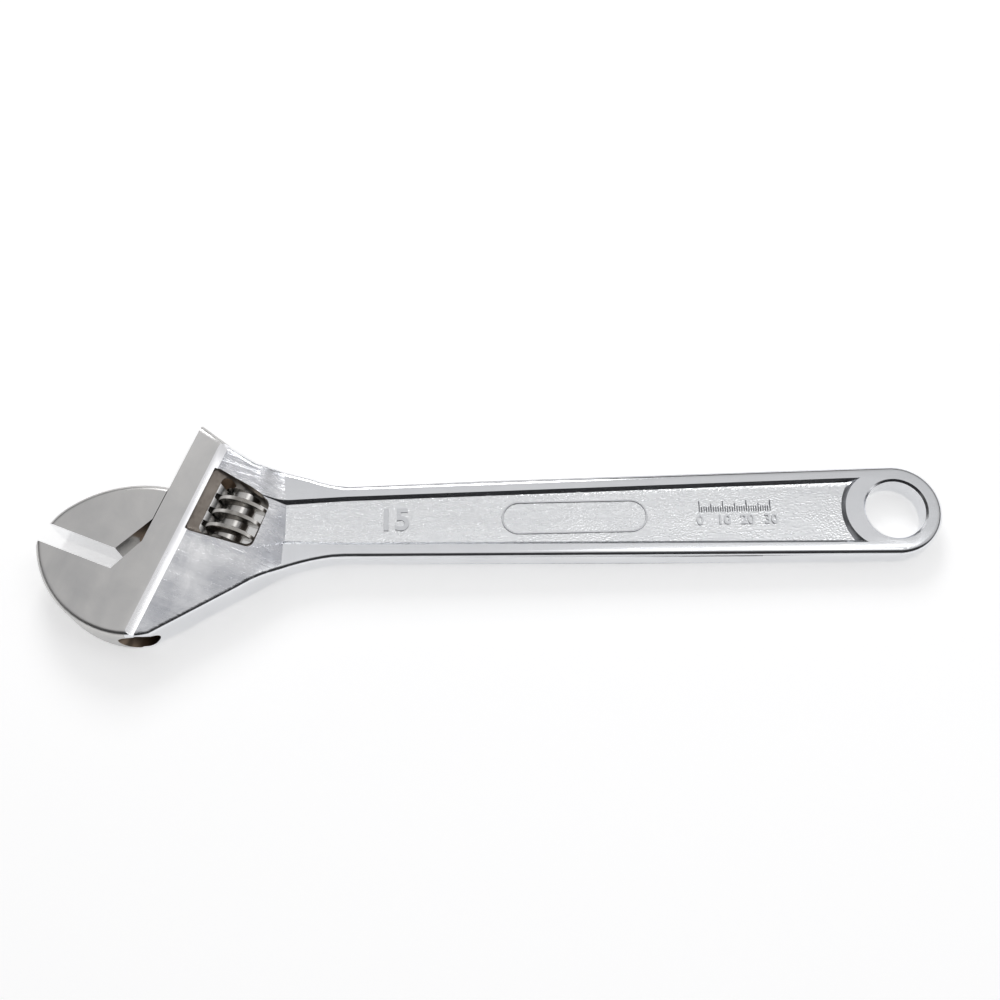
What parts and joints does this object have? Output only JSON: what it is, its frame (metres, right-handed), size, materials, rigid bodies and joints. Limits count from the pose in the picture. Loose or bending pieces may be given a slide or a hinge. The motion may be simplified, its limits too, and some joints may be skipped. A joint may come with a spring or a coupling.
{
  "type": "adjustable wrench",
  "caption": "Adjustable open-end wrench with an angled head, a sliding lower-shank jaw driven by a knurled worm, and a hang hole in the handle.",
  "frame": {"origin": "centre of the hang hole at mid thickness", "axes": "+X along the handle away from the jaws, +Z square to the broad faces, +Y towards the movable jaw's side"},
  "size_m": [0.3809, 0.0934, 0.021],
  "materials": {
    "body_chrome": "satin chrome plate over a forging",
    "jaw_chrome": "satin chrome plate",
    "worm_steel": "turned and knurled steel",
    "pin_steel": "turned steel",
    "spring_steel": "drawn wire"
  },
  "bodies": {
    "wrench": {"wrench_body": "body_chrome", "worm_pin": "pin_steel", "worm_spring": "spring_steel"},
    "jaw": {"movable_jaw": "jaw_chrome"},
    "worm": {"worm": "worm_steel"}
  },
  "joints": [
    {"name": "worm_turn", "type": "hinge", "parent": "wrench", "child": "worm", "pos_m": [-0.27972, 0.00401, 0], "axis": [-0.3827, -0.9239, 0], "range_deg": [-473, 1930]},
    {"name": "jaw_slide", "type": "slide", "parent": "wrench", "child": "jaw", "axis": [0.3827, 0.9239, 0], "range_m": [-0.00855, 0.0349]}
  ],
  "couplings": [
    {"joint": "jaw_slide", "follows": "worm_turn", "m_per_rad": 0.0010345}
  ]
}
